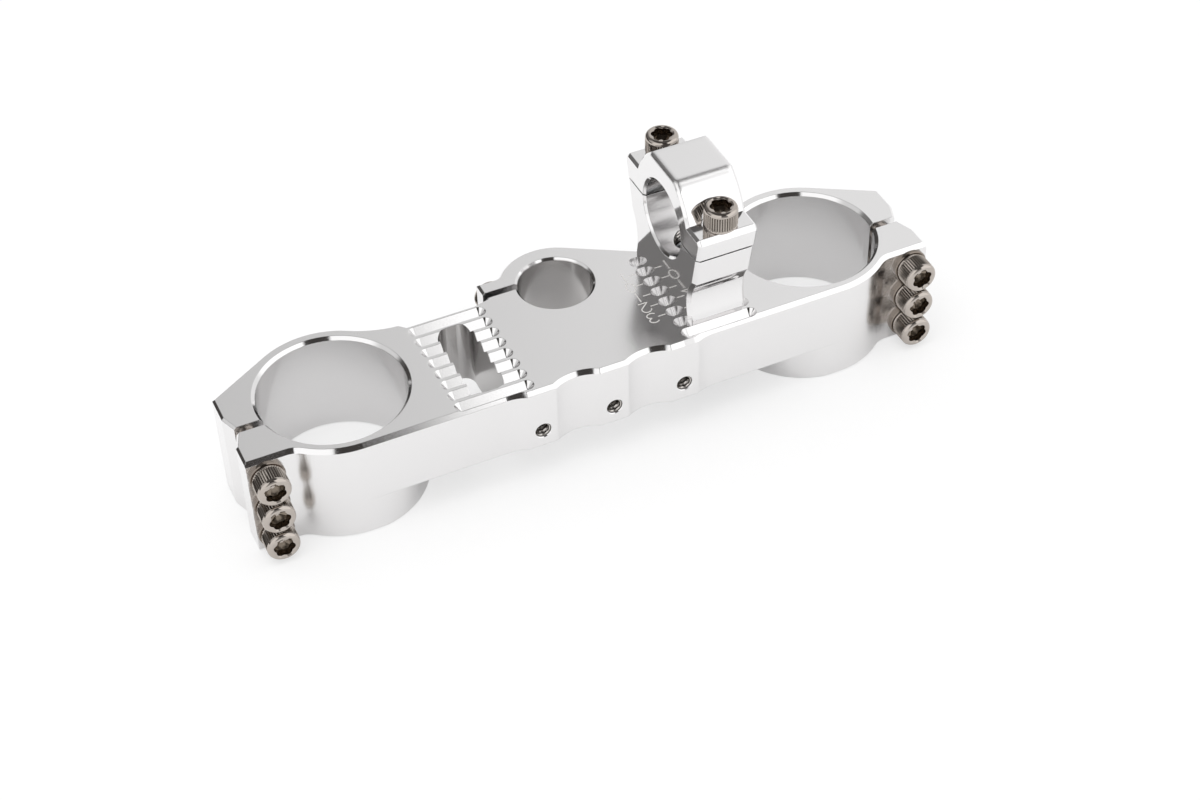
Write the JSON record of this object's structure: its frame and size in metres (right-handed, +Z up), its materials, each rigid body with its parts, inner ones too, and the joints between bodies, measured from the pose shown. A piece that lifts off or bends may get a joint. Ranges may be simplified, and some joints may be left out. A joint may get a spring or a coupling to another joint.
{
  "type": "motorcycle upper triple clamp",
  "caption": "Wide flat fork clamp plate with two large split bores, a central split bore, a ribbed pad with a slot and one raised handlebar clamp.",
  "frame": {"origin": "on the axis of the steering stem's bore, at the underside of the plate", "axes": "+X across the bike, along the plate; +Y to the bike's rear; +Z up along the stem"},
  "size_m": [0.2674, 0.0744, 0.0998],
  "materials": {
    "clamp": "satin",
    "mount": "polished",
    "screws": "polished",
    "washers": "polished",
    "bolt": "satin"
  },
  "bodies": {
    "root": {"clamp_body": "clamp", "left_pinch_screw_top": "screws", "left_pinch_washer_top": "washers", "left_pinch_screw_middle": "screws", "left_pinch_washer_middle": "washers", "left_pinch_screw_bottom": "screws", "left_pinch_washer_bottom": "washers", "right_pinch_screw_top": "screws", "right_pinch_washer_top": "washers", "right_pinch_screw_middle": "screws", "right_pinch_washer_middle": "washers", "right_pinch_screw_bottom": "screws", "right_pinch_washer_bottom": "washers", "stem_pinch_screw": "screws", "stem_pinch_washer": "washers", "bar_mount_base": "mount", "bar_mount_cap": "mount", "cap_screw_front": "screws", "cap_screw_rear": "screws", "mount_bolt": "bolt", "mount_bolt_washer": "bolt"}
  },
  "joints": []
}
